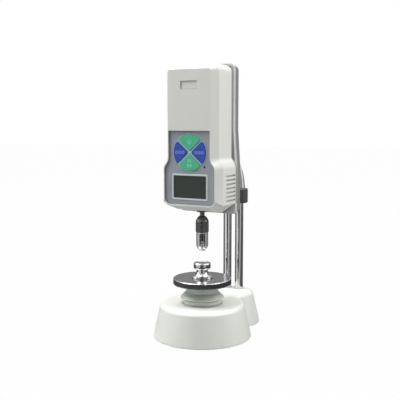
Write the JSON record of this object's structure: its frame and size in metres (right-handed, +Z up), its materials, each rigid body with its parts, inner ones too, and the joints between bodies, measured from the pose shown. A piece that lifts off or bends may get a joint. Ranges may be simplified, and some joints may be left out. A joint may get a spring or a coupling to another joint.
{
  "type": "grain hardness tester",
  "caption": "Bench tester: a screw-lifted round stage presses a grain against a collet chuck under a digital force gauge on twin columns and a keyhole-shaped base.",
  "frame": {"origin": "middle of the base's footprint at bench level", "axes": "+Z up; the display, keys and round front of the base face -Y; the columns stand at +Y"},
  "size_m": [0.11, 0.1588, 0.3027],
  "materials": {
    "white_enamel": "gloss",
    "cover_black": "satin",
    "foot_rubber": "matte",
    "zinc_steel": "satin",
    "guide_bronze": "satin",
    "wheel_steel": "gloss",
    "screw_steel": "satin",
    "stage_chrome": "mirror",
    "column_chrome": "mirror",
    "bracket_black": "satin",
    "housing_white": "fine texture",
    "chassis_dark": "satin",
    "panel_grey": "satin",
    "frame_pale": "satin",
    "key_green": "satin",
    "key_blue": "satin",
    "window_clear": "gloss",
    "display_dark": "satin",
    "lamp_dark": "gloss",
    "board_green": "satin",
    "switch_black": "matte",
    "battery_sleeve": "gloss",
    "cell_alloy": "satin",
    "bush_black": "matte",
    "rod_steel": "satin",
    "chuck_steel": "satin",
    "knurl_dark": "satin",
    "collet_bright": "mirror"
  },
  "bodies": {
    "stand": {"base_housing": "white_enamel", "screw_collar": "white_enamel", "base_cover": "cover_black", "rubber_feet": "foot_rubber", "cover_screws": "zinc_steel", "column_bolts": "zinc_steel", "collar_screws": "zinc_steel", "bracket_screws": "zinc_steel", "housing_screws": "zinc_steel", "board_screws": "zinc_steel", "cell_screws": "zinc_steel", "thrust_washer": "zinc_steel", "guide_key": "zinc_steel", "guide_bush": "guide_bronze", "column_left": "column_chrome", "column_right": "column_chrome", "column_cap_left": "column_chrome", "column_cap_right": "column_chrome", "support_bracket": "bracket_black", "gauge_front_shell": "housing_white", "gauge_rear_shell": "housing_white", "chassis": "chassis_dark", "control_panel": "panel_grey", "keypad_frame": "frame_pale", "display_bezel": "frame_pale", "display_window": "window_clear", "display_module": "display_dark", "status_lamp": "lamp_dark", "circuit_board": "board_green", "key_switches": "switch_black", "battery_pack": "battery_sleeve", "load_cell": "cell_alloy", "cell_bracket": "cell_alloy", "rod_bush": "bush_black"},
    "handwheel": {"handwheel": "wheel_steel", "retaining_ring": "zinc_steel"},
    "lift": {"lift_screw": "screw_steel", "sample_stage": "stage_chrome"},
    "key_top_body": {"key_top": "key_green"},
    "key_right_body": {"key_right": "key_blue"},
    "key_bottom_body": {"key_bottom": "key_green"},
    "key_left_body": {"key_left": "key_blue"},
    "probe": {"force_rod": "rod_steel", "chuck_body": "chuck_steel", "chuck_sleeve": "chuck_steel"},
    "collar": {"chuck_collar": "knurl_dark"},
    "collet_body": {"collet": "collet_bright"}
  },
  "joints": [
    {"name": "handwheel_turn", "type": "hinge", "parent": "stand", "child": "handwheel", "pos_m": [0, -0.0244, 0.06], "axis": [0, 0, 1], "range_deg": [0, 2070]},
    {"name": "stage_lift", "type": "slide", "parent": "stand", "child": "lift", "axis": [0, 0, 1], "range_m": [0, 0.0115]},
    {"name": "probe_spring", "type": "slide", "parent": "stand", "child": "probe", "axis": [0, 0, 1], "range_m": [0, 0.0005], "stiffness_N_per_m": 20000},
    {"name": "collar_turn", "type": "hinge", "parent": "probe", "child": "collar", "pos_m": [0, -0.0244, 0.12], "axis": [0, 0, 1], "range_deg": [0, 720]},
    {"name": "collet_open", "type": "slide", "parent": "probe", "child": "collet_body", "axis": [0, 0, 1], "range_m": [0, 0.001]},
    {"name": "key_top_press", "type": "slide", "parent": "stand", "child": "key_top_body", "axis": [0, 1, 0], "range_m": [0, 0.0006], "stiffness_N_per_m": 3000},
    {"name": "key_right_press", "type": "slide", "parent": "stand", "child": "key_right_body", "axis": [0, 1, 0], "range_m": [0, 0.0006], "stiffness_N_per_m": 3000},
    {"name": "key_bottom_press", "type": "slide", "parent": "stand", "child": "key_bottom_body", "axis": [0, 1, 0], "range_m": [0, 0.0006], "stiffness_N_per_m": 3000},
    {"name": "key_left_press", "type": "slide", "parent": "stand", "child": "key_left_body", "axis": [0, 1, 0], "range_m": [0, 0.0006], "stiffness_N_per_m": 3000}
  ],
  "couplings": [
    {"joint": "stage_lift", "follows": "handwheel_turn", "m_per_rad": 0.00031831},
    {"joint": "collar_turn", "follows": "collet_open", "rad_per_m": 12566}
  ]
}
